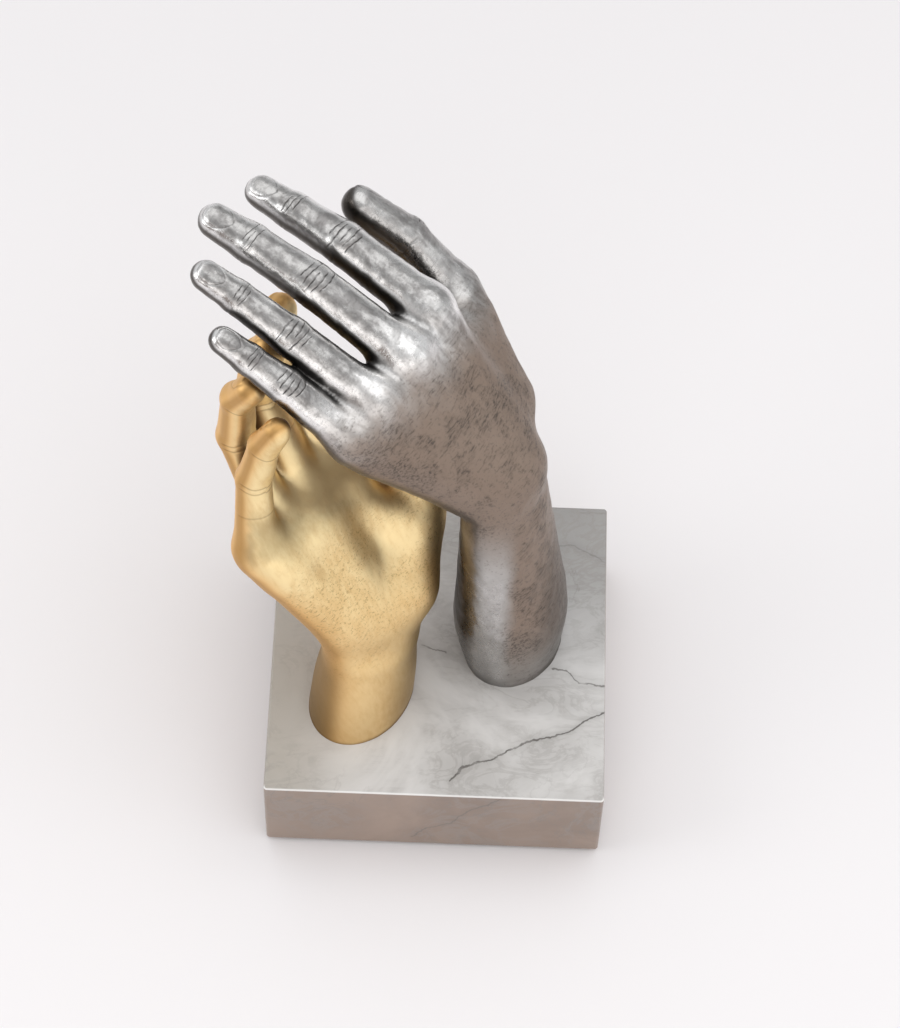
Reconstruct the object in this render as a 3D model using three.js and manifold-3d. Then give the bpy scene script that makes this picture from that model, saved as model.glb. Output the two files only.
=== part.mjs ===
// A trophy: a silver left hand and a gold right hand rise from a marble base and face each other palm to palm.
// Millimetres. +X is the viewer's right, +Y points away from the viewer and +Z is up.
// The origin is the centre of the underside of the pad that the base stands on.
import * as THREE from 'three';
import { mergeVertices } from 'three/addons/utils/BufferGeometryUtils.js';
import Module from 'manifold-3d';

const wasm = await Module();
wasm.setup();

// The base is a square marble block on a pad.
const BASE_SIDE = 150;
const BASE_HEIGHT = 50;
const BASE_CORNER = 1.5;
const BASE_BEVEL = 0.8;
const PAD_THICKNESS = 2;
const PAD_INSET = 4;
const PAD_CORNER = 6;

// Each hand is held by a stud through the base and kept from turning by a dowel.
const STUD_DIAMETER = 8;
const STUD_IN_HAND = 30;
const STUD_PROUD = 2;
const STUD_CHAMFER = 1;
const STUD_HOLE_CLEARANCE = 0.5;
const WASHER_OUTER = 16;
const WASHER_THICKNESS = 1.6;
const LOCK_WASHER_OUTER = 14.8;
const LOCK_WASHER_THICKNESS = 2;
const LOCK_WASHER_SLOT = 2.4;
const NUT_ACROSS_FLATS = 13;
const NUT_THICKNESS = 6.5;
const COUNTERBORE_CLEARANCE = 4;
const COUNTERBORE_SPARE = 4;
const DOWEL_DIAMETER = 5;
const DOWEL_LENGTH = 24;
const DOWEL_OFFSET = 14;
const DOWEL_CHAMFER = 0.8;
const FIT = 0.3;
const ROUND_SIDES = 24;

// A hand has its own frame at the middle of the wrist. A place in it is given as
// [towards the thumb's side, towards the fingertips, towards the back of the hand].
// Bones are the lengths from a knuckle to the next joint, the next and the fingertip, and radii are half
// thicknesses at the knuckle, the two joints and the tip.
const ANATOMY = {
  index: { carpal: [10, 8, 0], carpalRadius: 11.5, knuckleRadius: 10.5, radii: [10, 9.2, 8, 7] },
  middle: { carpal: [3, 6, 0], carpalRadius: 12.5, knuckleRadius: 11, radii: [10.2, 9.2, 8.3, 7.4] },
  ring: { carpal: [-5, 11, 0], carpalRadius: 12, knuckleRadius: 10.5, radii: [9.3, 8.2, 7.1, 6.5] },
  little: { carpal: [-12, 16, -2], carpalRadius: 11, knuckleRadius: 9.5, radii: [9, 7.5, 6.6, 5.8] },
};
const THUMB_RADII = [14.5, 10.8, 9.2, 8.1];
const THUMB_BALL = { wristEnd: [16, 20, -8], radii: [13, 11] };
const HEEL = { wristEnd: [-16, 22, -7], outward: [-2, 0, -5], radii: [11, 9.5] };
const THUMB_WEB = { drop: 8, radii: [9, 8] };
const FINGER_PADS = { drop: 6, radii: [9, 9.5] };
const PALM_FLOOR = { wristEnd: [0, 15, -6], drop: 6, radii: [12.5, 11.5] };
const BLENDS = { palm: 12, cleft: 4, web: 9, thumbRoot: 10, thumbKnuckle: 5, joint: 2 };

// The silver hand is a left hand, whose back faces the viewer.
const SILVER_HAND = {
  thumbSide: 1,
  foot: [33, 4],
  wrist: [27.6, 18.9, 113.9],
  distal: [-0.603, 0.251, 0.757],
  back: [0.627, -0.438, 0.645],
  armTop: [24, 21.5, 122],
  armAcross: [0.49, 0.86, 0.11],
  armHeights: [0, 24, 55, 91, 122],
  armHalfWidths: [25, 28.5, 27.5, 24.5, 22.5],
  armHalfDepths: [20.5, 24, 20.5, 17, 14],
  thumb: [[28.5, 19, -12], [53, 62, -26], [54.5, 94, -29], [48.5, 127, -33]],
  fingers: {
    index: { knuckle: [25, 85.5, 0.4], bones: [42, 25, 23], spread: 2.9, bends: [31, 11, 4] },
    middle: { knuckle: [1.5, 83.3, 2.7], bones: [46, 30, 24.5], spread: -0.3, bends: [24, 10, 4] },
    ring: { knuckle: [-21.6, 81, 0.7], bones: [42, 27, 22], spread: -2.5, bends: [18, 4, 3] },
    little: { knuckle: [-38.5, 78, -4], bones: [34, 18, 19.5], spread: -4.2, bends: [12, 3, 2] },
  },
};

// The gold hand is a right hand, whose palm faces the viewer below the silver one.
const GOLD_HAND = {
  thumbSide: -1,
  foot: [-34, -25],
  wrist: [-26, -14.4, 35.6],
  distal: [-0.423, 0.436, 0.794],
  back: [-0.642, 0.475, -0.602],
  armTop: [-29, -12, 46.5],
  armAcross: [0.5, 0.86, 0],
  armHeights: [0, 16, 33, 46.5],
  armHalfWidths: [27, 26.5, 25.5, 25.5],
  armHalfDepths: [21.5, 21, 18.5, 15],
  thumb: [[17.5, 17, -9], [42, 50, -15], [46, 80, -20], [42, 108, -24]],
  fingers: {
    index: { knuckle: [19, 87.5, 0.2], bones: [42, 25, 22], spread: -0.5, bends: [-4, 32, 14] },
    middle: { knuckle: [0.5, 87.5, 2], bones: [44, 28, 21], spread: -1.5, bends: [5, 37, 17] },
    ring: { knuckle: [-19, 81.5, 1], bones: [43, 27, 21], spread: -1.5, bends: [8, 31, 26] },
    little: { knuckle: [-35.5, 77, -3], bones: [37, 23, 21], spread: 10, bends: [25, 18, 14] },
  },
};
const GAP_BETWEEN_HANDS = 1.5;
const CELL = 4.8;
const STUB = 6;
const CELL_MARGIN = 0.05;
const PULLS_TO_SURFACE = 4;

const MARBLE = new THREE.MeshStandardMaterial({ color: 0xb9b4ae, roughness: 0.35, metalness: 0 });
const GOLD = new THREE.MeshStandardMaterial({ color: 0xc9a562, roughness: 0.35, metalness: 0.9 });
const SILVER = new THREE.MeshStandardMaterial({ color: 0xa3a19f, roughness: 0.38, metalness: 0.9 });
const ZINC = new THREE.MeshStandardMaterial({ color: 0xb4b7ba, roughness: 0.4, metalness: 0.85 });
const FELT = new THREE.MeshStandardMaterial({ color: 0x1c1c1e, roughness: 0.95, metalness: 0 });

const baseTop = PAD_THICKNESS + BASE_HEIGHT;
const nutStack = WASHER_THICKNESS + LOCK_WASHER_THICKNESS + NUT_THICKNESS;
const counterboreDepth = nutStack + STUD_PROUD + COUNTERBORE_SPARE;
const marbleClamped = BASE_HEIGHT - counterboreDepth;

const vector = ([x, y, z]) => new THREE.Vector3(x, y, z);
const mix = (a, b, share) => a.clone().lerp(b, share);

// A closed geometry as a solid that can be cut, and back.
function solid(geometry) {
  const bare = geometry.clone();
  bare.deleteAttribute('normal');
  bare.deleteAttribute('uv');
  const merged = mergeVertices(bare, 1e-4);
  return new wasm.Manifold(new wasm.Mesh({
    numProp: 3,
    vertProperties: new Float32Array(merged.attributes.position.array),
    triVerts: new Uint32Array(merged.index.array),
  }));
}

function geometryOf(made) {
  const { vertProperties, triVerts } = made.getMesh();
  const geometry = new THREE.BufferGeometry();
  geometry.setAttribute('position', new THREE.BufferAttribute(vertProperties, 3));
  geometry.setIndex(new THREE.BufferAttribute(triVerts, 1));
  const faceted = geometry.toNonIndexed();
  faceted.computeVertexNormals();
  return faceted;
}

// A pin stands on Z from 0 to its length, with chamfered ends.
function pin(diameter, length, chamfer) {
  const r = diameter / 2;
  const profile = [[0, 0], [r - chamfer, 0], [r, chamfer], [r, length - chamfer], [r - chamfer, length], [0, length]];
  const points = profile.map(([x, y]) => new THREE.Vector2(x, y));
  return new THREE.LatheGeometry(points, ROUND_SIDES).rotateX(Math.PI / 2);
}

// A plain drill from one height to another, at a place in plan.
function drill(diameter, x, y, low, high) {
  const geometry = new THREE.CylinderGeometry(diameter / 2, diameter / 2, high - low, ROUND_SIDES);
  return solid(geometry.rotateX(Math.PI / 2).translate(x, y, (low + high) / 2));
}

function roundedSquare(side, corner) {
  const h = side / 2;
  const shape = new THREE.Shape();
  const corners = [[h, -h, -Math.PI / 2], [h, h, 0], [-h, h, Math.PI / 2], [-h, -h, Math.PI]];
  for (const [x, y, start] of corners) {
    const cx = x - Math.sign(x) * corner;
    const cy = y - Math.sign(y) * corner;
    shape.absarc(cx, cy, corner, start, start + Math.PI / 2, false);
  }
  return shape;
}

function slab(shape, thickness, bevel) {
  return new THREE.ExtrudeGeometry(shape, {
    depth: thickness - 2 * bevel,
    bevelEnabled: bevel > 0,
    bevelThickness: bevel,
    bevelSize: bevel,
    bevelOffset: -bevel,
    bevelSegments: 2,
    curveSegments: 4,
  }).translate(0, 0, bevel);
}

// A flat ring around Z, from 0 to its thickness, round or with a given number of outer sides.
function ring(outerRadius, innerRadius, thickness, outerSides) {
  const shape = new THREE.Shape();
  const turn = 2 * Math.PI / outerSides;
  for (let i = 0; i < outerSides; i += 1) {
    shape[i ? 'lineTo' : 'moveTo'](outerRadius * Math.cos(i * turn), outerRadius * Math.sin(i * turn));
  }
  shape.closePath();
  shape.holes.push(new THREE.Path().absarc(0, 0, innerRadius, 0, 2 * Math.PI, true));
  return new THREE.ExtrudeGeometry(shape, {
    depth: thickness,
    bevelEnabled: false,
    curveSegments: ROUND_SIDES / 2,
  });
}

// A lock washer is a flat ring that is split on one side.
function splitRing(outerRadius, innerRadius, thickness, slot) {
  const half = Math.asin(slot / 2 / innerRadius);
  const shape = new THREE.Shape();
  shape.absarc(0, 0, outerRadius, half, 2 * Math.PI - half, false);
  shape.absarc(0, 0, innerRadius, 2 * Math.PI - half, half, true);
  shape.closePath();
  return new THREE.ExtrudeGeometry(shape, {
    depth: thickness,
    bevelEnabled: false,
    curveSegments: ROUND_SIDES / 2,
  });
}

// A value between stations, on a smooth curve through them. It stays level below the first one.
function smoothBetween(stations, values, at) {
  const slope = (i) => {
    const before = Math.max(i - 1, 0);
    const after = Math.min(i + 1, stations.length - 1);
    return (values[after] - values[before]) / (stations[after] - stations[before]);
  };
  const place = Math.min(Math.max(at, stations[0]), stations[stations.length - 1]);
  let i = 0;
  while (i < stations.length - 2 && place > stations[i + 1]) i += 1;
  const span = stations[i + 1] - stations[i];
  const s = (place - stations[i]) / span;
  const rise = 3 * s * s - 2 * s * s * s;
  return values[i] + (values[i + 1] - values[i]) * rise
    + span * (s * s * s - 2 * s * s + s) * slope(i)
    + span * (s * s * s - s * s) * slope(i + 1);
}

// The distance from a point to a rounded cone between two balls.
function coneField(from, to, radiusFrom, radiusTo) {
  const [ax, ay, az] = from.toArray();
  const bx = to.x - ax;
  const by = to.y - ay;
  const bz = to.z - az;
  const length2 = bx * bx + by * by + bz * bz;
  const drop = radiusFrom - radiusTo;
  const slant2 = length2 - drop * drop;
  return (x, y, z) => {
    const px = x - ax;
    const py = y - ay;
    const pz = z - az;
    const along = px * bx + py * by + pz * bz;
    const past = along - length2;
    const off2 = (px * length2 - bx * along) ** 2 + (py * length2 - by * along) ** 2
      + (pz * length2 - bz * along) ** 2;
    const limit = Math.sign(drop) * drop * drop * off2;
    if (Math.sign(past) * slant2 * past * past * length2 > limit) {
      return Math.sqrt(off2 + past * past * length2) / length2 - radiusTo;
    }
    if (Math.sign(along) * slant2 * along * along * length2 < limit) {
      return Math.sqrt(off2 + along * along * length2) / length2 - radiusFrom;
    }
    return (Math.sqrt(off2 * slant2 / length2) + along * drop) / length2 - radiusFrom;
  };
}

// The lesser of two distances, blended where they are closer than the blend.
function blended(a, b, blend) {
  const near = Math.max(blend - Math.abs(a - b), 0) / blend;
  return Math.min(a, b) - near * near * blend / 4;
}

// The hand's frame: a function that turns a place in the hand into a point above the base's top.
function handFrame(hand) {
  const distal = vector(hand.distal).normalize();
  const back = vector(hand.back).addScaledVector(distal, -distal.dot(vector(hand.back))).normalize();
  const thumbward = distal.clone().cross(back).multiplyScalar(hand.thumbSide);
  const place = ([across, along, up]) => vector(hand.wrist)
    .addScaledVector(thumbward, across).addScaledVector(distal, along).addScaledVector(back, up);
  return { distal, back, thumbward, place };
}

// A finger's four joints, from its knuckle to its tip.
function fingerJoints(frame, finger) {
  const spread = THREE.MathUtils.degToRad(finger.spread);
  const ahead = frame.distal.clone().multiplyScalar(Math.cos(spread))
    .addScaledVector(frame.thumbward, Math.sin(spread));
  const joints = [frame.place(finger.knuckle)];
  let bend = 0;
  finger.bones.forEach((bone, i) => {
    bend += THREE.MathUtils.degToRad(finger.bends[i]);
    const next = joints[i].clone().addScaledVector(ahead, bone * Math.cos(bend))
      .addScaledVector(frame.back, -bone * Math.sin(bend));
    joints.push(next);
  });
  return joints;
}

// The rounded cones of a finger or thumb. The last one ends a radius short, so that the tip's ball reaches it.
function digitCones(joints, radii) {
  const tipward = joints[3].clone().sub(joints[2]).normalize();
  const ends = [...joints.slice(0, 3), joints[3].clone().addScaledVector(tipward, -radii[3])];
  return [0, 1, 2].map((i) => coneField(ends[i], ends[i + 1], radii[i], radii[i + 1]));
}

// The forearm is an oval limb from the foot to the wrist, with a rounded top inside the palm.
function armField(hand) {
  const foot = vector([...hand.foot, 0]);
  const axis = vector(hand.armTop).sub(foot);
  const length = axis.length();
  const rise = axis.z / length;
  axis.normalize();
  const across = vector(hand.armAcross);
  across.addScaledVector(axis, -axis.dot(across)).normalize();
  const deep = axis.clone().cross(across);
  const heights = hand.armHeights.map((height) => height / rise);
  const cap = hand.armHalfDepths[hand.armHalfDepths.length - 1];
  return (x, y, z) => {
    const px = x - foot.x;
    const py = y - foot.y;
    const along = px * axis.x + py * axis.y + z * axis.z;
    const u = px * across.x + py * across.y + z * across.z;
    const v = px * deep.x + py * deep.y + z * deep.z;
    const halfWidth = smoothBetween(heights, hand.armHalfWidths, along);
    const halfDepth = smoothBetween(heights, hand.armHalfDepths, along);
    const least = Math.min(halfWidth, halfDepth);
    const over = Math.max(along - length + cap, 0);
    return (Math.hypot(u / halfWidth, v / halfDepth, over / least) - 1) * least;
  };
}

// The whole hand and arm as one field: negative inside, 0 on the skin. A stub of the arm goes on below
// the base's top, where it is cut flat.
function handField(hand) {
  const frame = handFrame(hand);
  const names = Object.keys(ANATOMY);
  const metacarpal = (name, share) => mix(
    vector(ANATOMY[name].carpal), vector(hand.fingers[name].knuckle), share);
  const cone = (from, to, radii) => coneField(
    frame.place(from.toArray()), frame.place(to.toArray()), radii[0], radii[1]);
  const palm = names.map((name) => {
    const { carpal, carpalRadius, knuckleRadius } = ANATOMY[name];
    return cone(vector(carpal), metacarpal(name, 0.92), [carpalRadius, knuckleRadius]);
  });
  const ballEnd = mix(mix(vector(hand.thumb[0]), vector(hand.thumb[1]), 0.6), metacarpal('index', 0.55), 0.4);
  palm.push(cone(vector(THUMB_BALL.wristEnd), ballEnd, THUMB_BALL.radii));
  const webEnds = [mix(vector(hand.thumb[0]), vector(hand.thumb[1]), 0.75), metacarpal('index', 0.68)];
  palm.push(cone(webEnds[0], webEnds[1].setZ(-THUMB_WEB.drop), THUMB_WEB.radii));
  const heelEnd = metacarpal('little', 0.66).add(vector(HEEL.outward));
  palm.push(cone(vector(HEEL.wristEnd), heelEnd, HEEL.radii));
  const padEnds = ['little', 'index'].map((name) => metacarpal(name, 0.86).setZ(-FINGER_PADS.drop));
  palm.push(cone(...padEnds, FINGER_PADS.radii));
  const floorEnd = mix(metacarpal('middle', 0.75), metacarpal('ring', 0.75), 0.5).setZ(-PALM_FLOOR.drop);
  palm.push(cone(vector(PALM_FLOOR.wristEnd), floorEnd, PALM_FLOOR.radii));
  const arm = armField(hand);
  const fingers = names.map((name) => digitCones(fingerJoints(frame, hand.fingers[name]), ANATOMY[name].radii));
  const thumb = digitCones(hand.thumb.map(frame.place), THUMB_RADII);
  return (x, y, z) => {
    let body = arm(x, y, z);
    for (const part of palm) body = blended(body, part(x, y, z), BLENDS.palm);
    const roots = fingers.map(([root]) => root(x, y, z)).reduce((a, b) => blended(a, b, BLENDS.cleft));
    let skin = blended(body, roots, BLENDS.web);
    skin = Math.min(skin, blended(body, thumb[0](x, y, z), BLENDS.thumbRoot));
    for (const [, middle, tip] of fingers) {
      skin = blended(skin, middle(x, y, z), BLENDS.joint);
      skin = blended(skin, tip(x, y, z), BLENDS.joint);
    }
    skin = blended(skin, thumb[1](x, y, z), BLENDS.thumbKnuckle);
    skin = blended(skin, thumb[2](x, y, z), BLENDS.joint);
    return Math.max(skin, -z - STUB);
  };
}

// A box that holds the hand's joints and foot, with room for the flesh around them. Its floor is a whole
// number of cells below the base's top, so that the flat cut there lies between two rows of points.
function handBox(hand) {
  const frame = handFrame(hand);
  const box = new THREE.Box3().setFromPoints(hand.thumb.map(frame.place));
  for (const finger of Object.values(hand.fingers)) fingerJoints(frame, finger).forEach((p) => box.expandByPoint(p));
  box.expandByPoint(vector([...hand.foot, 0]));
  const room = Math.max(...hand.armHalfWidths) + CELL;
  box.expandByScalar(room);
  box.min.z = -CELL * Math.ceil(STUB / CELL + 1);
  return box;
}

// The twelve edges and six faces of a grid cell. An edge is named by its axis and by where it lies
// on the other two axes.
const OTHER_AXES = [[1, 2], [0, 2], [0, 1]];
const edgeName = (axis, offset) => axis * 4 + offset[OTHER_AXES[axis][0]] + 2 * offset[OTHER_AXES[axis][1]];

// Which of a cell's crossed edges belong together: those that the surface joins inside the cell.
function joinedEdges(valueAt) {
  const group = Array.from({ length: 12 }, (_, i) => i);
  const root = (i) => (group[i] === i ? i : root(group[i]));
  for (let normal = 0; normal < 3; normal += 1) {
    const [b, c] = OTHER_AXES[normal];
    for (const side of [0, 1]) {
      const corner = (ob, oc) => {
        const offset = [0, 0, 0];
        offset[normal] = side;
        offset[b] = ob;
        offset[c] = oc;
        return offset;
      };
      const values = [[0, 0], [1, 0], [1, 1], [0, 1]].map(([ob, oc]) => valueAt(corner(ob, oc)));
      const edges = [
        edgeName(b, corner(0, 0)), edgeName(c, corner(1, 0)), edgeName(b, corner(0, 1)), edgeName(c, corner(0, 0))];
      const crossed = edges.filter((_, i) => (values[i] < 0) !== (values[(i + 1) % 4] < 0));
      if (crossed.length === 2) group[root(crossed[0])] = root(crossed[1]);
      if (crossed.length === 4) {
        const insideJoined = values[0] + values[1] + values[2] + values[3] < 0;
        for (let i = 0; i < 4; i += 1) {
          if ((values[i] < 0) !== insideJoined) group[root(edges[i])] = root(edges[(i + 3) % 4]);
        }
      }
    }
  }
  return root;
}

// The surface where a field is 0, as a closed mesh of small quads with one point for each sheet in each cell.
function surfaceOf(field, box) {
  const low = box.min;
  const count = box.getSize(new THREE.Vector3()).divideScalar(CELL).ceil().addScalar(1).toArray();
  const stride = [1, count[0], count[0] * count[1]];
  const nodeIndex = (i, j, k) => i + j * stride[1] + k * stride[2];
  const values = new Float64Array(count[0] * count[1] * count[2]);
  for (let k = 0; k < count[2]; k += 1) {
    for (let j = 0; j < count[1]; j += 1) {
      for (let i = 0; i < count[0]; i += 1) {
        values[nodeIndex(i, j, k)] = field(low.x + i * CELL, low.y + j * CELL, low.z + k * CELL);
      }
    }
  }

  const points = [];
  const pointOfEdge = new Map();
  const settle = (sum, cell) => {
    const p = sum.clone();
    const lowest = vector(cell).addScalar(CELL_MARGIN).multiplyScalar(CELL).add(low);
    const highest = vector(cell).addScalar(1 - CELL_MARGIN).multiplyScalar(CELL).add(low);
    const step = CELL / 100;
    for (let n = 0; n < PULLS_TO_SURFACE; n += 1) {
      const here = field(p.x, p.y, p.z);
      const slope = new THREE.Vector3(
        field(p.x + step, p.y, p.z) - here,
        field(p.x, p.y + step, p.z) - here,
        field(p.x, p.y, p.z + step) - here,
      ).divideScalar(step);
      p.addScaledVector(slope, -here / Math.max(slope.lengthSq(), 0.1)).clamp(lowest, highest);
    }
    return p;
  };
  for (let k = 0; k < count[2] - 1; k += 1) {
    for (let j = 0; j < count[1] - 1; j += 1) {
      for (let i = 0; i < count[0] - 1; i += 1) {
        const node = nodeIndex(i, j, k);
        const valueAt = (o) => values[node + o[0] * stride[0] + o[1] * stride[1] + o[2] * stride[2]];
        const crossings = [];
        for (let axis = 0; axis < 3; axis += 1) {
          const [b, c] = OTHER_AXES[axis];
          for (const [ob, oc] of [[0, 0], [1, 0], [0, 1], [1, 1]]) {
            const start = [0, 0, 0];
            start[b] = ob;
            start[c] = oc;
            const end = [...start];
            end[axis] = 1;
            const from = valueAt(start);
            const to = valueAt(end);
            if ((from < 0) !== (to < 0)) {
              const at = vector(start);
              at.setComponent(axis, from / (from - to));
              crossings.push({ name: edgeName(axis, start), start, axis, at });
            }
          }
        }
        if (!crossings.length) continue;
        const root = joinedEdges(valueAt);
        for (const sheet of new Set(crossings.map(({ name }) => root(name)))) {
          const own = crossings.filter(({ name }) => root(name) === sheet);
          const middle = own.reduce((sum, { at }) => sum.add(at), new THREE.Vector3()).divideScalar(own.length);
          points.push(settle(middle.add(vector([i, j, k])).multiplyScalar(CELL).add(low), [i, j, k]));
          for (const { start, axis } of own) {
            const edge = (node + start[0] * stride[0] + start[1] * stride[1] + start[2] * stride[2]) * 3 + axis;
            pointOfEdge.set(`${edge} ${node}`, points.length - 1);
          }
        }
      }
    }
  }

  const triangles = [];
  for (let node = 0; node < values.length; node += 1) {
    for (let axis = 0; axis < 3; axis += 1) {
      const inside = values[node] < 0;
      const next = node + stride[axis];
      if (next >= values.length || inside === (values[next] < 0)) continue;
      const [b, c] = OTHER_AXES[axis];
      const cells = [node, node - stride[b], node - stride[b] - stride[c], node - stride[c]];
      const quad = cells.map((cell) => pointOfEdge.get(`${node * 3 + axis} ${cell}`));
      if (quad.includes(undefined)) continue;
      if (inside === (axis === 1)) quad.reverse();
      const across = points[quad[0]].distanceTo(points[quad[2]]);
      const other = points[quad[1]].distanceTo(points[quad[3]]);
      const [p, q, r, s] = across < other ? quad : [...quad.slice(1), quad[0]];
      triangles.push(p, q, r, p, r, s);
    }
  }
  const geometry = new THREE.BufferGeometry();
  geometry.setAttribute('position', new THREE.Float32BufferAttribute(points.flatMap((p) => p.toArray()), 3));
  geometry.setIndex(triangles);
  return geometry;
}

const dowelPlace = (hand) => {
  const [x, y] = hand.armAcross;
  const scale = DOWEL_OFFSET / Math.hypot(x, y);
  return [hand.foot[0] + x * scale, hand.foot[1] + y * scale];
};

// A hand in its own group on the base's top: its skin is cut flat there and drilled for the stud and the dowel.
function handGeometry(hand, field) {
  const box = handBox(hand);
  const depth = -box.min.z + CELL;
  const size = box.getSize(new THREE.Vector3());
  const below = new THREE.BoxGeometry(size.x * 2, size.y * 2, depth).translate(...hand.foot, -depth / 2);
  return geometryOf(solid(surfaceOf(field, box))
    .subtract(solid(below))
    .subtract(drill(STUD_DIAMETER + 2 * FIT, ...hand.foot, -depth, STUD_IN_HAND + FIT))
    .subtract(drill(DOWEL_DIAMETER + 2 * FIT, ...dowelPlace(hand), -depth, DOWEL_LENGTH / 2 + FIT)));
}

function baseGeometry() {
  let block = solid(slab(roundedSquare(BASE_SIDE, BASE_CORNER), BASE_HEIGHT, BASE_BEVEL));
  for (const hand of [SILVER_HAND, GOLD_HAND]) {
    const counterbore = WASHER_OUTER + 2 * COUNTERBORE_CLEARANCE;
    block = block
      .subtract(drill(STUD_DIAMETER + 2 * STUD_HOLE_CLEARANCE, ...hand.foot, -1, BASE_HEIGHT + 1))
      .subtract(drill(counterbore, ...hand.foot, -1, counterboreDepth))
      .subtract(drill(DOWEL_DIAMETER + 2 * FIT, ...dowelPlace(hand),
        BASE_HEIGHT - DOWEL_LENGTH / 2 - FIT, BASE_HEIGHT + 1));
  }
  return geometryOf(block);
}

const trophy = new THREE.Group();

function piece(name, geometry, material, x, y, z) {
  const mesh = new THREE.Mesh(geometry, material.clone());
  mesh.name = name;
  mesh.position.set(x, y, z);
  trophy.add(mesh);
}

// The stud, washers, nut and dowel that hold one hand. The nut is tightened in the counterbore.
function fasteners(name, hand) {
  const [x, y] = hand.foot;
  const shoulder = PAD_THICKNESS + counterboreDepth;
  const studLength = STUD_IN_HAND + marbleClamped + nutStack + STUD_PROUD;
  const boreRadius = STUD_DIAMETER / 2 + FIT;
  const nutCorner = NUT_ACROSS_FLATS / 2 / Math.cos(Math.PI / 6);
  const washer = ring(WASHER_OUTER / 2, boreRadius, WASHER_THICKNESS, ROUND_SIDES);
  const lock = splitRing(LOCK_WASHER_OUTER / 2, boreRadius, LOCK_WASHER_THICKNESS, LOCK_WASHER_SLOT);
  const nut = ring(nutCorner, boreRadius, NUT_THICKNESS, 6);
  const stud = pin(STUD_DIAMETER, studLength, STUD_CHAMFER);
  piece(`${name}_stud`, stud, ZINC, x, y, baseTop + STUD_IN_HAND - studLength);
  piece(`${name}_washer`, washer, ZINC, x, y, shoulder - WASHER_THICKNESS);
  piece(`${name}_lock_washer`, lock, ZINC, x, y, shoulder - WASHER_THICKNESS - LOCK_WASHER_THICKNESS);
  piece(`${name}_nut`, nut, ZINC, x, y, shoulder - nutStack);
  const dowel = pin(DOWEL_DIAMETER, DOWEL_LENGTH, DOWEL_CHAMFER);
  piece(`${name}_dowel`, dowel, ZINC, ...dowelPlace(hand), baseTop - DOWEL_LENGTH / 2);
}

piece('base_pad', slab(roundedSquare(BASE_SIDE - 2 * PAD_INSET, PAD_CORNER), PAD_THICKNESS, 0), FELT, 0, 0, 0);
piece('marble_base', baseGeometry(), MARBLE, 0, 0, PAD_THICKNESS);
const silverSkin = handField(SILVER_HAND);
const goldSkin = handField(GOLD_HAND);
// The gold hand is relieved wherever the silver one would come closer than the gap.
const relievedGold = (x, y, z) => Math.max(goldSkin(x, y, z), GAP_BETWEEN_HANDS - silverSkin(x, y, z));
piece('silver_hand', handGeometry(SILVER_HAND, silverSkin), SILVER, 0, 0, baseTop);
piece('gold_hand', handGeometry(GOLD_HAND, relievedGold), GOLD, 0, 0, baseTop);
fasteners('silver', SILVER_HAND);
fasteners('gold', GOLD_HAND);

export default trophy;
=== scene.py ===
import math

import bmesh
import bpy
import numpy as np
from mathutils import Matrix, Vector

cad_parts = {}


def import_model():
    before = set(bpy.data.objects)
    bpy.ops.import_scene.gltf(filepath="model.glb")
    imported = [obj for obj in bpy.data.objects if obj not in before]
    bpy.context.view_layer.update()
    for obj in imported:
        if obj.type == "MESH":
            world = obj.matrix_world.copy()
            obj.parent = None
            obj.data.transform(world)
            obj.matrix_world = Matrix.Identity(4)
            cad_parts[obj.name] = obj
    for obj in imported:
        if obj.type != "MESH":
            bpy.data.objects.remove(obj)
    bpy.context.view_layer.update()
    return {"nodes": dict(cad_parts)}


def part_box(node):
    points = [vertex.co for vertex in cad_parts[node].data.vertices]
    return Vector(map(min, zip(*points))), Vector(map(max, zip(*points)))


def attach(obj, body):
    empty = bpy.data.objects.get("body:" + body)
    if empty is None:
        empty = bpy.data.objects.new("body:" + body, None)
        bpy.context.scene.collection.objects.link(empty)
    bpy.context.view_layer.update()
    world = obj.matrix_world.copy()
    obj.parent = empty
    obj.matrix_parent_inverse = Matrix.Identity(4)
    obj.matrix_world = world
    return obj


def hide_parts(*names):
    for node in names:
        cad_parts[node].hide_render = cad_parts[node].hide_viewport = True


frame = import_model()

base_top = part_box("marble_base")[1].z
MM = 0.001
BASE_HEIGHT = base_top / MM
BASE_HALF_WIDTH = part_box("marble_base")[1].x / MM

# Hand sizes
# Millimetres above the base's top. A hand has its own frame at the middle of the wrist, and a place in it is
# given as (towards the thumb's side, towards the fingertips, towards the back of the hand).
ANATOMY = {
    "index": dict(carpal=(10, 8, 0), carpal_radius=11.5, knuckle_radius=10.5, radii=(10, 9.2, 8, 7)),
    "middle": dict(carpal=(3, 6, 0), carpal_radius=12.5, knuckle_radius=11, radii=(10.2, 9.2, 8.3, 7.4)),
    "ring": dict(carpal=(-5, 11, 0), carpal_radius=12, knuckle_radius=10.5, radii=(9.3, 8.2, 7.1, 6.5)),
    "little": dict(carpal=(-12, 16, -2), carpal_radius=11, knuckle_radius=9.5, radii=(9, 7.5, 6.6, 5.8)),
}
THUMB_RADII = (14.5, 10.8, 9.2, 8.1)
THUMB_BALL_START, THUMB_BALL_RADII = (16, 20, -8), (13, 11)
HEEL_START, HEEL_OUTWARD, HEEL_RADII = (-16, 22, -7), (-2, 0, -5), (11, 9.5)
THUMB_WEB_DROP, THUMB_WEB_RADII = 8, (9, 8)
FINGER_PADS_DROP, FINGER_PADS_RADII = 6, (9, 9.5)
PALM_FLOOR_START, PALM_FLOOR_DROP, PALM_FLOOR_RADII = (0, 15, -6), 6, (12.5, 11.5)
BLEND = dict(palm=12, cleft=4, web=9, thumb_root=10, thumb_knuckle=5, joint=2)

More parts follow.
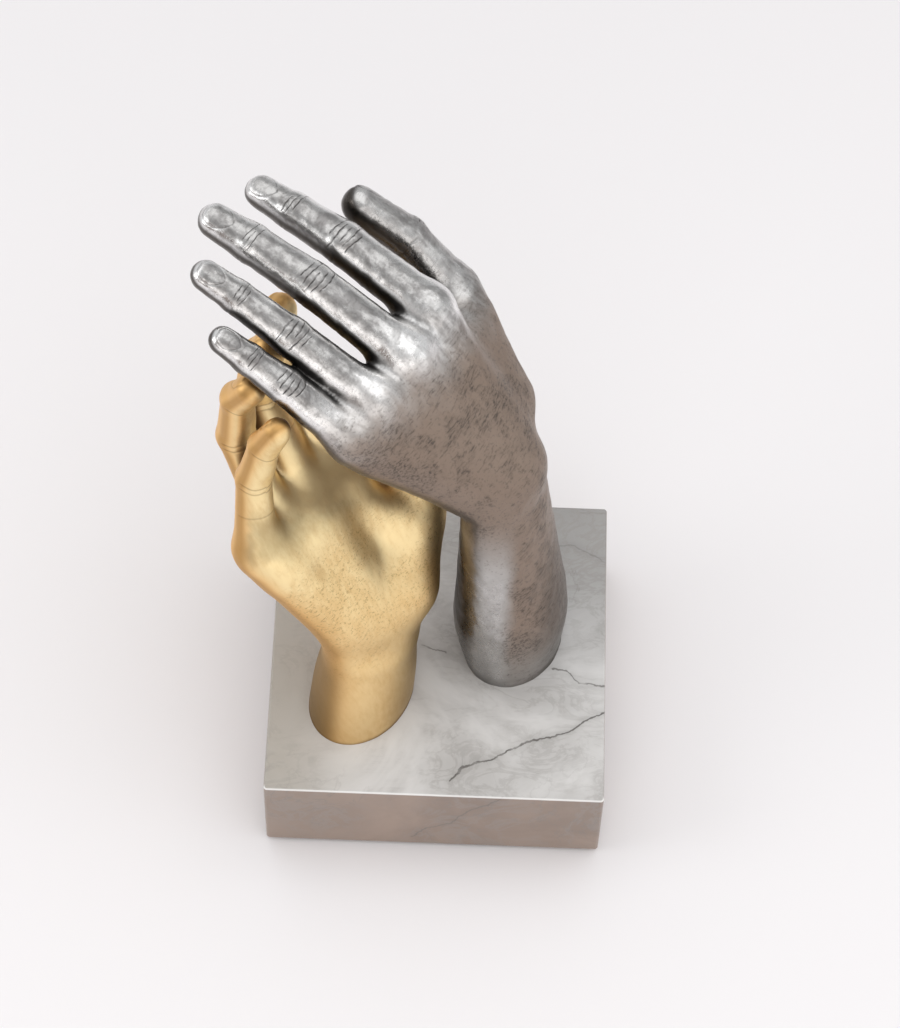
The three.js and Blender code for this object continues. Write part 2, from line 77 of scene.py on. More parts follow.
SILVER_HAND = dict(
    thumb_side=1,
    unevenness=1,
    foot=(33, 4),
    wrist=(27.6, 18.9, 113.9),
    distal=(-0.603, 0.251, 0.757),
    back=(0.627, -0.438, 0.645),
    arm_top=(24, 21.5, 122),
    arm_across=(0.49, 0.86, 0.11),
    arm_heights=(0, 24, 55, 91, 122),
    arm_half_widths=(25, 28.5, 27.5, 24.5, 22.5),
    arm_half_depths=(20.5, 24, 20.5, 17, 14),
    thumb=((28.5, 19, -12), (53, 62, -26), (54.5, 94, -29), (48.5, 127, -33)),
    fingers={
        "index": dict(knuckle=(25, 85.5, 0.4), bones=(42, 25, 23), spread=2.9, bends=(31, 11, 4)),
        "middle": dict(knuckle=(1.5, 83.3, 2.7), bones=(46, 30, 24.5), spread=-0.3, bends=(24, 10, 4)),
        "ring": dict(knuckle=(-21.6, 81, 0.7), bones=(42, 27, 22), spread=-2.5, bends=(18, 4, 3)),
        "little": dict(knuckle=(-38.5, 78, -4), bones=(34, 18, 19.5), spread=-4.2, bends=(12, 3, 2)),
    },
)
GOLD_HAND = dict(
    thumb_side=-1,
    unevenness=0.4,
    foot=(-34, -25),
    wrist=(-26, -14.4, 35.6),
    distal=(-0.423, 0.436, 0.794),
    back=(-0.642, 0.475, -0.602),
    arm_top=(-29, -12, 46.5),
    arm_across=(0.5, 0.86, 0),
    arm_heights=(0, 16, 33, 46.5),
    arm_half_widths=(27, 26.5, 25.5, 25.5),
    arm_half_depths=(21.5, 21, 18.5, 15),
    thumb=((17.5, 17, -9), (42, 50, -15), (46, 80, -20), (42, 108, -24)),
    fingers={
        "index": dict(knuckle=(19, 87.5, 0.2), bones=(42, 25, 22), spread=-0.5, bends=(-4, 32, 14)),
        "middle": dict(knuckle=(0.5, 87.5, 2), bones=(44, 28, 21), spread=-1.5, bends=(5, 37, 17)),
        "ring": dict(knuckle=(-19, 81.5, 1), bones=(43, 27, 21), spread=-1.5, bends=(8, 31, 26)),
        "little": dict(knuckle=(-35.5, 77, -3), bones=(37, 23, 21), spread=10, bends=(25, 18, 14)),
    },
)
GAP_BETWEEN_HANDS = 1.5
STUB = 6

# How finely the skins are made, in millimetres and in counts
CELL = 1.3
FINE_CUTS, BLOCK, PULLS = 2, 4, 2
SLOPE_STEP, RELIEF_STEP = 0.05, 0.15

# Relief, in millimetres
DEEPEST_CUT, FAR_AWAY = 0.2, 10
FOLD_DEPTH, FOLD_WIDTH = 0.2, 0.5
FOLD_SPACING, FOLD_SPACING_LEAST = 2.0, 0.6
INNER_CREASE_DEPTH, INNER_CREASE_WIDTH = 0.15, 0.6
ROOT_CREASE_DEPTH, ROOT_CREASE_WIDTH = 0.12, 0.7
BONE_FULLNESS = (0.3, 0.4, 0.3)
# Relief as a share of the room to the other hand, and a nail's sizes as shares of the fingertip's radius
RELIEF_PER_ROOM, NAIL_HALF_WIDTH, NAIL_LENGTH = 0.3, 0.76, 1.65


# Small maths
def unit(v):
    v = np.asarray(v, float)
    return v / np.linalg.norm(v)


def ramp(low, high, x):
    """0 at the low end and 1 at the high end, with a smooth rise between."""
    t = np.clip((x - low) / (high - low), 0, 1)
    return t * t * (3 - 2 * t)


def hump(x, width):
    return np.exp(-((x / width) ** 2))


def smooth_between(stations, values, at):
    """A smooth curve through the values at the stations, read at other places."""
    stations, values = np.array(stations, float), np.array(values, float)
    last = len(stations) - 1
    after = np.minimum(np.arange(last + 1) + 1, last)
    before = np.maximum(np.arange(last + 1) - 1, 0)
    slopes = (values[after] - values[before]) / (stations[after] - stations[before])
    place = np.clip(at, stations[0], stations[-1])
    i = np.clip(np.searchsorted(stations, place, side="left") - 1, 0, last - 1)
    span = stations[i + 1] - stations[i]
    s = (place - stations[i]) / span
    rise = 3 * s * s - 2 * s**3
    return (
        values[i]
        + (values[i + 1] - values[i]) * rise
        + span * (s**3 - 2 * s * s + s) * slopes[i]
        + span * (s**3 - s * s) * slopes[i + 1]
    )


# The hands as distance fields
def cone_field(p, start, end, radius_start, radius_end):
    """The distance from points to a rounded cone between two balls."""
    axis = end - start
    length2 = axis @ axis
    drop = radius_start - radius_end
    slant2 = length2 - drop * drop
    from_start = p - start
    along = from_start @ axis
    past = along - length2
    off = from_start * length2 - along[:, None] * axis
    off2 = (off * off).sum(1)
    limit = np.sign(drop) * drop * drop * off2
    beyond_end = np.sign(past) * slant2 * past * past * length2 > limit
    before_start = np.sign(along) * slant2 * along * along * length2 < limit
    side = (np.sqrt(off2 * slant2 / length2) + along * drop) / length2 - radius_start
    at_end = np.sqrt(off2 + past * past * length2) / length2 - radius_end
    at_start = np.sqrt(off2 + along * along * length2) / length2 - radius_start
    return np.where(beyond_end, at_end, np.where(before_start, at_start, side))


def blended(a, b, blend):
    """Two distance fields joined with a soft fillet."""
    near = np.maximum(blend - np.abs(a - b), 0) / blend
    return np.minimum(a, b) - near * near * blend / 4


class Digit:
    """A finger or thumb: four joints, and at each bone its direction and its back."""

    def __init__(self, name, joints, radii, backs):
        self.name, self.radii = name, radii
        self.joints = [np.asarray(j, float) for j in joints]
        self.dirs = [unit(b - a) for a, b in zip(self.joints, self.joints[1:])]
        self.backs = [unit(up - d * (up @ d)) for up, d in zip(backs, self.dirs)]
        ends = self.joints[:3] + [self.joints[3] - self.dirs[2] * radii[3]]
        self.cones = [(ends[i], ends[i + 1], radii[i], radii[i + 1]) for i in range(3)]

    def distance(self, p):
        return np.minimum.reduce([cone_field(p, *cone) for cone in self.cones])

    def at_joint(self, p, joint):
        """Places along and around the digit at a joint, in millimetres, and the angle from its back."""
        low, high = max(joint - 1, 0), min(joint, 2)
        along = unit(self.dirs[low] + self.dirs[high])
        back = unit(self.backs[low] + self.backs[high])
        side = unit(np.cross(along, back))
        from_joint = p - self.joints[joint]
        radius = self.radii[joint]
        angle = np.arctan2(from_joint @ side, from_joint @ back)
        return from_joint @ along, angle * radius, angle


class Hand:
    def __init__(self, sizes):
        self.sizes = sizes
        self.distal = unit(sizes["distal"])
        back = np.array(sizes["back"])
        self.back = unit(back - self.distal * (self.distal @ back))
        self.thumbward = np.cross(self.distal, self.back) * sizes["thumb_side"]
        self.wrist = np.array(sizes["wrist"], float)
        self.digits = [self.finger(name) for name in ANATOMY]
        self.digits.append(self.thumb())
        self.palm = self.palm_cones()
        self.prepare_arm()

    def place(self, q):
        return self.wrist + self.thumbward * q[0] + self.distal * q[1] + self.back * q[2]

    def local(self, p):
        d = p - self.wrist
        return d @ self.thumbward, d @ self.distal, d @ self.back

    def finger(self, name):
        finger = self.sizes["fingers"][name]
        spread = math.radians(finger["spread"])
        ahead = self.distal * math.cos(spread) + self.thumbward * math.sin(spread)
        joints, backs, bend = [self.place(finger["knuckle"])], [], 0
        for bone, more in zip(finger["bones"], finger["bends"]):
            bend += math.radians(more)
            joints.append(joints[-1] + ahead * bone * math.cos(bend) - self.back * bone * math.sin(bend))
            backs.append(self.back * math.cos(bend) + ahead * math.sin(bend))
        return Digit(name, joints, ANATOMY[name]["radii"], backs)

    def thumb(self):
        nailward = unit(self.thumbward + self.back * 0.1)
        joints = [self.place(q) for q in self.sizes["thumb"]]
        return Digit("thumb", joints, THUMB_RADII, [nailward] * 3)

    def metacarpal(self, name, share):
        start = np.array(ANATOMY[name]["carpal"], float)
        return start + (np.array(self.sizes["fingers"][name]["knuckle"], float) - start) * share

    def palm_cones(self):
        cones = []
        for name, sizes in ANATOMY.items():
            ends = (sizes["carpal"], self.metacarpal(name, 0.92))
            cones.append((*ends, sizes["carpal_radius"], sizes["knuckle_radius"]))
        thumb = [np.array(q, float) for q in self.sizes["thumb"][:2]]
        ball_end = (thumb[0] * 0.4 + thumb[1] * 0.6) * 0.6 + self.metacarpal("index", 0.55) * 0.4
        cones.append((THUMB_BALL_START, ball_end, *THUMB_BALL_RADII))
        web = self.metacarpal("index", 0.68)
        web[2] = -THUMB_WEB_DROP
        cones.append((thumb[0] * 0.25 + thumb[1] * 0.75, web, *THUMB_WEB_RADII))
        cones.append((HEEL_START, self.metacarpal("little", 0.66) + np.array(HEEL_OUTWARD), *HEEL_RADII))
        pads = [self.metacarpal(name, 0.86) for name in ("little", "index")]
        for end in pads:
            end[2] = -FINGER_PADS_DROP
        cones.append((*pads, *FINGER_PADS_RADII))
        floor_end = (self.metacarpal("middle", 0.75) + self.metacarpal("ring", 0.75)) / 2
        floor_end[2] = -PALM_FLOOR_DROP
        cones.append((PALM_FLOOR_START, floor_end, *PALM_FLOOR_RADII))
        return [(self.place(a), self.place(b), ra, rb) for a, b, ra, rb in cones]

    def prepare_arm(self):
        foot = np.array([*self.sizes["foot"], 0], float)
        axis = np.array(self.sizes["arm_top"], float) - foot
        length = np.linalg.norm(axis)
        axis = axis / length
        across = np.array(self.sizes["arm_across"], float)
        across = unit(across - axis * (axis @ across))
        self.arm = dict(
            foot=foot,
            axis=axis,
            length=length,
            across=across,
            deep=np.cross(axis, across),
            heights=[height / axis[2] for height in self.sizes["arm_heights"]],
            cap=self.sizes["arm_half_depths"][-1],
        )

    def arm_field(self, p):
        arm = self.arm
        d = p - arm["foot"]
        along = d @ arm["axis"]
        width = smooth_between(arm["heights"], self.sizes["arm_half_widths"], along)
        depth = smooth_between(arm["heights"], self.sizes["arm_half_depths"], along)
        least = np.minimum(width, depth)
        over = np.maximum(along - arm["length"] + arm["cap"], 0)
        oval = (d @ arm["across"] / width) ** 2 + (d @ arm["deep"] / depth) ** 2 + (over / least) ** 2
        return (np.sqrt(oval) - 1) * least

    def field(self, p):
        """Negative inside the hand and arm, 0 on the skin. A stub of the arm goes on below the base's top."""
        body = self.arm_field(p)
        for cone in self.palm:
            body = blended(body, cone_field(p, *cone), BLEND["palm"])
        fingers, thumb = self.digits[:4], self.digits[4]
        roots = cone_field(p, *fingers[0].cones[0])
        for digit in fingers[1:]:
            roots = blended(roots, cone_field(p, *digit.cones[0]), BLEND["cleft"])
        skin = blended(body, roots, BLEND["web"])
        skin = np.minimum(skin, blended(body, cone_field(p, *thumb.cones[0]), BLEND["thumb_root"]))
        for digit in fingers:
            for cone in digit.cones[1:]:
                skin = blended(skin, cone_field(p, *cone), BLEND["joint"])
        skin = blended(skin, cone_field(p, *thumb.cones[1]), BLEND["thumb_knuckle"])
        skin = blended(skin, cone_field(p, *thumb.cones[2]), BLEND["joint"])
        return np.maximum(skin, -p[:, 2] - STUB)

    def corners(self):
        points = [j for digit in self.digits for j in digit.joints] + [self.arm["foot"]]
        room = max(self.sizes["arm_half_widths"]) + CELL
        low, high = np.min(points, 0) - room, np.max(points, 0) + room
        low[2] = -STUB - 3 * CELL
        return low, high


silver, gold = Hand(SILVER_HAND), Hand(GOLD_HAND)


def gold_field(p):
    """The gold hand, relieved where the silver one comes close."""
    return np.maximum(gold.field(p), GAP_BETWEEN_HANDS - silver.field(p))


def slope_of(field, p):
    here = field(p)
    slope = np.stack([(field(p + SLOPE_STEP * axis) - here) / SLOPE_STEP for axis in np.eye(3)], 1)
    return here, slope


def facing(field, p):
    """The direction that the skin faces at each point."""
    _, slope = slope_of(field, p)
    return slope / np.linalg.norm(slope, axis=1)[:, None]


# The skin of a field
CORNERS = np.array([(i, j, k) for k in (0, 1) for j in (0, 1) for i in (0, 1)])
CELL_EDGES = [(a, b) for a in range(8) for b in range(a + 1, 8) if np.abs(CORNERS[a] - CORNERS[b]).sum() == 1]


def grid_values(field, low, count):
    """The field on a grid. Blocks that the skin doesn't reach only get a large value of the right sign."""
    blocks = -(-count // BLOCK)
    where = np.stack(np.meshgrid(*[np.arange(n) for n in blocks], indexing="ij"), -1).reshape(-1, 3)
    middle = field(low + (where * BLOCK + (BLOCK - 1) / 2) * CELL)
    values = np.sign(middle).reshape(blocks) * 100
    for axis in range(3):
        values = np.repeat(values, BLOCK, axis=axis)
    near = where[np.abs(middle) < 5 * CELL]
    inner = np.stack(np.meshgrid(*[np.arange(BLOCK)] * 3, indexing="ij"), -1).reshape(-1, 3)
    nodes = (near[:, None, :] * BLOCK + inner[None, :, :]).reshape(-1, 3)
    values[tuple(nodes.T)] = field(low + nodes * CELL)
    return values


def skin_of(field, low, high):
    """Points and quads on the surface where the field is 0."""
    count = np.ceil((high - low) / CELL).astype(int) + 1
    values = grid_values(field, low, count)
    inside = values < 0
    sizes = np.array(values.shape) - 1
    mixed = np.zeros(sizes, int)
    for i, j, k in CORNERS:
        mixed += inside[i : i + sizes[0], j : j + sizes[1], k : k + sizes[2]]
    cells = np.argwhere((mixed > 0) & (mixed < 8))
    at = [values[tuple((cells + corner).T)] for corner in CORNERS]
    total, found = np.zeros((len(cells), 3)), np.zeros(len(cells))
    for a, b in CELL_EDGES:
        crossed = (at[a] < 0) != (at[b] < 0)
        share = np.where(crossed, at[a] / np.where(crossed, at[a] - at[b], 1), 0)
        total += crossed[:, None] * (CORNERS[a] + share[:, None] * (CORNERS[b] - CORNERS[a]))
        found += crossed
    points = low + (cells + total / found[:, None]) * CELL
    index = np.full(sizes, -1)
    index[tuple(cells.T)] = np.arange(len(cells))
    quads = []
    for axis in range(3):
        b, c = [n for n in range(3) if n != axis]
        step = np.eye(3, dtype=int)
        near = [slice(None)] * 3
        near[axis] = slice(0, -1)
        far = [slice(None)] * 3
        far[axis] = slice(1, None)
        nodes = np.argwhere(inside[tuple(near)] != inside[tuple(far)])
        nodes = nodes[(nodes[:, b] > 0) & (nodes[:, c] > 0) & (nodes < sizes).all(1)]
        around = [nodes, nodes - step[b], nodes - step[b] - step[c], nodes - step[c]]
        quad = np.stack([index[tuple(cell.T)] for cell in around], 1)
        keep = (quad >= 0).all(1)
        turned = inside[tuple(nodes.T)] == (axis == 1)
        quad[turned] = quad[turned][:, ::-1]
        quads.append(quad[keep])
    return pulled(field, points, CELL), np.concatenate(quads)


def pulled(field, points, reach):
    """Points moved on to the skin, each by no more than the reach."""
    start = points.copy()
    for _ in range(PULLS):
        here, slope = slope_of(field, points)
        step = slope * (-here / np.maximum((slope**2).sum(1), 0.1))[:, None]
        points = start + np.clip(points + step - start, -reach, reach)
    return points


# Relief: what makes a limb into a hand
def joint_folds(digit, p, joint, scale, count):
    """Folds over a joint: places in their row, their depth and their spacing. Each whole number is a fold."""
    along, around, angle = digit.at_joint(p, joint)
    reach, seed = digit.radii[joint], joint + len(digit.name)
    spacing = FOLD_SPACING * scale + FOLD_SPACING_LEAST
    wander = 0.26 * np.sin(0.5 * around + 0.5 * along + seed)
    wander += 0.08 * np.sin(1.6 * around - 0.9 * along + 3 * seed)
    middle = (count - 1) / 2
    row = (along * (1 + 0.12 * (around / reach) ** 2) + 0.13 * around - wander) / spacing + middle
    nearest = np.round(row)
    extent = reach * (0.82 + 0.24 * np.sin(2.4 * nearest + seed))
    aside = 0.3 * reach * np.sin(1.9 * nearest + 2 * seed)
    depth = 1 - ramp(0.45 * extent, extent, np.abs(around - aside))
    depth *= 1 - ramp(count / 2 - 0.1, count / 2 + 0.15, np.abs(row - middle))
    return row, depth * (1 - ramp(0.95, 1.4, np.abs(angle))), spacing


def nail_place(digit, p):
    """Places on a digit's nail: outside its outline, towards its free edge and aside, and where it can be."""
    radius = digit.radii[3] * 1.06
    along = (p - digit.joints[3]) @ digit.dirs[2]
    from_joint = p - digit.joints[2]
    side = np.cross(digit.dirs[2], digit.backs[2])
    angle = np.arctan2(from_joint @ side, from_joint @ digit.backs[2])
    length, half_width = NAIL_LENGTH * radius, NAIL_HALF_WIDTH * radius
    ahead = (along + 0.3 * radius + length / 2) / (length / 2)
    aside = angle * radius / half_width
    square = 2.6 + 1.2 * np.sign(ahead)
    size = (np.abs(ahead) ** square + np.abs(aside) ** square) ** (1 / square)
    here = (1 - ramp(1.35, 1.7, np.abs(angle))) * ramp(-3.4, -2.9, along / radius)
    return (size - 1) * half_width, ramp(0.5, 1.0, ahead), aside, here


def nail(off, free_edge, aside):
    """A nail's shape and the shallow groove around it. Its free edge stands out a little."""
    plate = 1 - ramp(-0.5, 0.25, off)
    lift = plate * (0.05 + 0.22 * free_edge - 0.12 * (1 - aside * aside) * (1 - free_edge))
    rim = 0.1 * hump(off - 1.3, 1.0) * (1 - free_edge)
    groove = -0.12 * hump(off - 0.1, 0.55) * (1 - 0.7 * free_edge) - 0.07 * hump(off - 0.7, 0.7) * free_edge
    return lift + rim, groove


def joints_with_folds(digit):
    """The joints that carry folds, with the size and number of them."""
    return [(2, 0.85, 4)] if digit.name == "thumb" else [(1, 1, 5), (2, 0.65, 3)]


def digit_relief(digit, p):
    """One digit's full and hollow places, the cuts in it, and where they need a finer skin."""
    mine = 1 - ramp(0.9, 2.6, digit.distance(p))
    relief, cuts, fine = np.zeros(len(p)), np.zeros(len(p)), np.zeros(len(p), bool)
    near = np.flatnonzero(mine > 0)
    if not len(near):
        return relief, cuts, fine
    q, radii = p[near], digit.radii
    own, cut, wants = np.zeros(len(near)), np.zeros(len(near)), np.zeros(len(near), bool)
    thumb = digit.name == "thumb"
    for joint, scale, count in joints_with_folds(digit):
        along, around, angle = digit.at_joint(q, joint)
        row, depth, spacing = joint_folds(digit, q, joint, scale, count)
        cut -= FOLD_DEPTH * scale * hump((row - np.round(row)) * spacing, FOLD_WIDTH) * depth
        own += 0.24 * scale * hump(along, 6.5 * scale) * hump(around, 0.75 * radii[joint])
        wants |= (np.abs(along) < spacing * count / 2 + 1.5) & (np.abs(angle) < 1.35)
        palmar = ramp(1.25, 1.75, np.abs(angle))
        lines = (-1.4, 1.4) if joint == 1 and not thumb else (0.0,)
        for place in lines:
            off = along - place - 0.3 * np.cos(angle) - 0.3 * np.sin(0.6 * around)
            cut -= INNER_CREASE_DEPTH * hump(off, INNER_CREASE_WIDTH) * palmar
        own -= 0.14 * hump(along, 3.5) * palmar
        wants |= (np.abs(along) < 3.2) & (np.abs(angle) > 1.2)
    if not thumb:
        along, around, angle = digit.at_joint(q, 0)
        palmar = ramp(1.0, 1.6, np.abs(angle))
        crease = 0.56 * np.linalg.norm(digit.joints[1] - digit.joints[0])
        off = along - crease + 0.8 * np.cos(angle)
        cut -= ROOT_CREASE_DEPTH * hump(off, ROOT_CREASE_WIDTH) * palmar
        wants |= (np.abs(off) < 2.2) & (np.abs(angle) > 1.1)
    for bone, fullness in enumerate(BONE_FULLNESS):
        start, end = digit.joints[bone], digit.joints[bone + 1]
        share = (q - start) @ digit.dirs[bone] / np.linalg.norm(end - start)
        side = np.cross(digit.dirs[bone], digit.backs[bone])
        turn = np.arctan2((q - start) @ side, (q - start) @ digit.backs[bone])
        own += fullness * hump(share - 0.5, 0.28) * ramp(1.7, 2.7, np.abs(turn))
    off, free_edge, aside, here = nail_place(digit, q)
    plate, groove = nail(off, free_edge, aside)
    wants |= (np.abs(off) < 2.2) & (here > 0)
    relief[near] = (own + plate * here) * mine[near]
    cuts[near] = (cut + groove * here) * mine[near]
    fine[near] = wants & (mine[near] > 0.3)
    return relief, cuts, fine


def fine_marks(hand, p):
    """The row of folds and their depth at each point, and its place outside the outline of a nail."""
    row, depth, outline = np.full(len(p), 0.5), np.zeros(len(p)), np.full(len(p), 3.0)
    for digit in hand.digits:
        near = np.flatnonzero(digit.distance(p) < 1.8)
        q = p[near]
        for joint, scale, count in joints_with_folds(digit):
            place, deep, _ = joint_folds(digit, q, joint, scale, count)
            here = deep > depth[near]
            row[near[here]], depth[near[here]] = place[here], deep[here]
        off, _, _, here = nail_place(digit, q)
        here = here > 0
        outline[near[here]] = np.minimum(np.clip(off, -3, 3)[here], outline[near[here]])
    return row, depth, outline


def off_line(x, y, line):
    """How far points are from a line of several stretches, and how far along it the nearest place is."""
    best, place = np.full(len(x), 1e9), np.zeros(len(x))
    stretches = [np.hypot(b[0] - a[0], b[1] - a[1]) for a, b in zip(line, line[1:])]
    total, before = sum(stretches), 0
    for (a, b), length in zip(zip(line, line[1:]), stretches):
        ux, uy = (b[0] - a[0]) / length, (b[1] - a[1]) / length
        t = np.clip((x - a[0]) * ux + (y - a[1]) * uy, 0, length)
        off = np.hypot(x - a[0] - t * ux, y - a[1] - t * uy)
        closer = off < best
        best, place = np.where(closer, off, best), np.where(closer, (before + t) / total, place)
        before += length
    return best, place


def curve_through(points, steps=8):
    """A smooth line through a few points."""
    points = np.array(points, float)
    padded = np.vstack([2 * points[0] - points[1], points, 2 * points[-1] - points[-2]])
    line = []
    for a, b, c, d in zip(padded, padded[1:], padded[2:], padded[3:]):
        turn, twist = 2 * a - 5 * b + 4 * c - d, 3 * b - a - 3 * c + d
        for t in np.arange(steps) / steps:
            line.append(0.5 * (2 * b + (c - a) * t + turn * t**2 + twist * t**3))
    return [tuple(q) for q in line] + [tuple(points[-1])]


# Creases of a palm: places towards the thumb's side and the fingertips, a depth and a width
PALM_CREASES = [
    (curve_through([(27, 66), (14, 60), (3, 46), (-1, 28), (2, 10)]), 0.035, 1.4),
    (curve_through([(27, 68), (12, 64), (-8, 54), (-30, 40)]), 0.02, 1.2),
    (curve_through([(-44, 58), (-28, 62), (-10, 67), (4, 80)]), 0.02, 1.2),
]
# Creases across the wrist: a place towards the fingertips and a depth
WRIST_CREASES = [(-4, 0.03), (2, 0.02)]
# The unevenness of a casting: a wavelength, a height and a shift
WAVES = ((24, 0.1, 0.4), (15, 0.08, 2.2), (9, 0.06, 4.1), (5.5, 0.03, 1.3))


def palm_relief(hand, p, normal):
    """Knuckles and tendons on the back of the hand, and the creases in its palm."""
    across, along, _ = hand.local(p)
    backward = normal @ hand.back
    dorsal, palmar = ramp(0.25, 0.75, backward), ramp(0.2, 0.65, -backward)
    relief, cuts = np.zeros(len(p)), np.zeros(len(p))
    for digit in hand.digits[:4]:
        knuckle = digit.joints[0] + digit.backs[0] * digit.radii[0]
        a, b, _ = hand.local(knuckle[None, :])
        relief += 0.12 * hump(across - a[0], 8) * hump(along - b[0] + 1, 10) * dorsal
        start = np.array(ANATOMY[digit.name]["carpal"], float)
        off, place = off_line(across, along, [(start[0] * 0.7, start[1]), (a[0], b[0])])
        relief += (0.06 + 0.16 * place**2) * hump(off, 3.4) * dorsal * (1 - ramp(0.9, 1.0, place) * 0.6)
    for first, second in zip(hand.digits[:3], hand.digits[1:4]):
        valley = (first.joints[0] + second.joints[0]) / 2
        a, b, _ = hand.local(valley[None, :])
        relief -= 0.5 * hump(across - a[0], 4) * hump(along - b[0] - 6, 10) * dorsal
        wander = 0.6 * np.sin(along * 0.5)
        cuts -= 0.14 * hump(across - a[0] - wander, 1.5) * hump(along - b[0] - 9, 6) * dorsal
    not_digits = ramp(1.0, 5.0, np.minimum.reduce([digit.distance(p) for digit in hand.digits]))
    for line, depth, width in PALM_CREASES:
        off, place = off_line(across, along, line)
        ends = ramp(0, 0.1, place) * (1 - ramp(0.88, 1.0, place))
        weight = palmar * not_digits * ends
        cuts -= depth * hump(off, width) * weight
        relief -= depth * hump(off, 5) * weight
    for place, depth in WRIST_CREASES:
        wander = 0.5 * np.sin(across * 0.21 + place)
        weight = ramp(0.0, 0.5, -backward) * (1 - ramp(19, 26, np.abs(across)))
        cuts -= depth * hump(along - place - wander, 1.0) * weight
    return relief, cuts


def lumps(p):
    """The faint unevenness of a cast and hand-finished skin."""
    total = np.zeros(len(p))
    for wave, size, shift in WAVES:
        x, y, z = (p * (2 * math.pi / wave)).T
        first = np.sin(x + 1.3 * np.sin(y * 0.8 + shift) + shift)
        total += size * first * np.sin(z * 0.9 + 1.1 * np.sin(x * 0.7 + shift))
    return total


def relief_of(hand, p, normal, room):
    """How far the skin stands out at each point, the cuts in it, and where it needs a finer grid."""
    relief, cuts = palm_relief(hand, p, normal)
    fine = np.zeros(len(p), bool)
    for digit in hand.digits:
        more, more_cuts, wants = digit_relief(digit, p)
        relief += more
        cuts += more_cuts
        fine |= wants
    relief += cuts + lumps(p) * hand.sizes["unevenness"]
    return np.minimum(relief, RELIEF_PER_ROOM * np.maximum(room, 0)), cuts, fine


def crown(hand, p, normal):
    """1 where the skin faces the back of its own bone or palm, 0 at the sides and -1 on the inner side."""
    up = 0.02 * np.tile(hand.back, (len(p), 1))
    for digit in hand.digits:
        for cone, back in zip(digit.cones, digit.backs):
            near = np.exp(-np.clip(cone_field(p, *cone), -1, 40) / 1.2)
            up += near[:, None] * (hand.back + 0.5 * hand.thumbward if digit.name == "thumb" else back)
    return (normal * up).sum(1) / np.linalg.norm(up, axis=1)


# How far openness looks out, and how much each distance counts
REACHES = ((2, 0.8), (5, 1.0), (10, 1.0), (18, 0.7))


def openness(p, normal):
    """How far each point sees out: 1 in the open, less in a cleft or close to the other hand or the base."""
    total = np.zeros(len(p))
    for reach, weight in REACHES:
        q = p + normal * reach
        nearest = np.minimum(np.minimum(silver.field(q), gold.field(q)), q[:, 2])
        total += weight * np.clip(nearest / reach, 0, 1)
    return total / sum(weight for _, weight in REACHES)


def attribute(mesh, name, values):
    mesh.attributes.new(name, "FLOAT", "POINT").data.foreach_set("value", np.asarray(values, np.float32))


def coordinates(mesh):
    flat = np.empty(len(mesh.vertices) * 3)
    mesh.vertices.foreach_get("co", flat)
    return flat.reshape(-1, 3)


def skin_mesh(name, hand, field):
    """A hand's skin without its relief, with a finer grid where the relief needs it."""
    points, quads = skin_of(field, *hand.corners())
    _, _, fine = relief_of(hand, points, facing(field, points), FAR_AWAY)
    mesh = bpy.data.meshes.new(name)
    mesh.from_pydata(points.tolist(), [], quads.tolist())
    work = bmesh.new()
    work.from_mesh(mesh)
    work.verts.ensure_lookup_table()
    edges = [e for e in work.edges if fine[e.verts[0].index] or fine[e.verts[1].index]]
    bmesh.ops.subdivide_edges(work, edges=edges, cuts=FINE_CUTS, use_grid_fill=True)
    wide = [f for f in work.faces if len(f.verts) > 4]
    bmesh.ops.triangulate(work, faces=wide)
    work.to_mesh(mesh)
    work.free()
    return mesh


def cut_flat(mesh):
    """Cuts off what is below the base's top, and closes the cut."""
    work = bmesh.new()
    work.from_mesh(mesh)
    everything = list(work.verts) + list(work.edges) + list(work.faces)
    bmesh.ops.bisect_plane(
        work, geom=everything, dist=1e-5, plane_co=(0, 0, 0), plane_no=(0, 0, 1), clear_inner=True)
    rim = [e for e in work.edges if e.is_boundary]
    bmesh.ops.holes_fill(work, edges=rim, sides=0)
    work.to_mesh(mesh)
    work.free()


def marked(mesh, hand, field, other):
    """Gives the mesh what its finish needs to know at each point, and returns its normals with the relief."""
    p = coordinates(mesh)
    normal, room = facing(field, p), other(p)
    relief, cuts, _ = relief_of(hand, p, normal, room)
    ahead = [relief_of(hand, p + RELIEF_STEP * axis, normal, room)[0] for axis in np.eye(3)]
    rise = np.stack([(more - relief) / RELIEF_STEP for more in ahead], 1)
    rise -= normal * (rise * normal).sum(1)[:, None]
    normals = normal - rise
    normals /= np.linalg.norm(normals, axis=1)[:, None]
    attribute(mesh, "groove", np.clip(-cuts / DEEPEST_CUT, 0, 1))
    attribute(mesh, "crown", crown(hand, p, normal))
    for mark, values in zip(("row", "fold", "outline"), fine_marks(hand, p)):
        attribute(mesh, mark, values)
    attribute(mesh, "open", openness(p, normals))
    return normals


def hand_object(name, hand, field, other):
    """A hand's fine skin with its relief, cut flat on the base's top."""
    mesh = skin_mesh(name, hand, field)
    p = pulled(field, coordinates(mesh), CELL)
    normal = facing(field, p)
    relief, _, _ = relief_of(hand, p, normal, other(p))
    mesh.vertices.foreach_set("co", (p + normal * relief[:, None]).ravel())
    cut_flat(mesh)
    normals = marked(mesh, hand, field, other)
    mesh.transform(Matrix.Translation((0, 0, base_top)) @ Matrix.Scale(MM, 4))
    mesh.shade_smooth()
    mesh.normals_split_custom_set_from_vertices(normals.tolist())
    made = bpy.data.objects.new(name, mesh)
    bpy.context.scene.collection.objects.link(made)
    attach(made, "root")
    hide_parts(name.replace("_skin", ""))
    return made


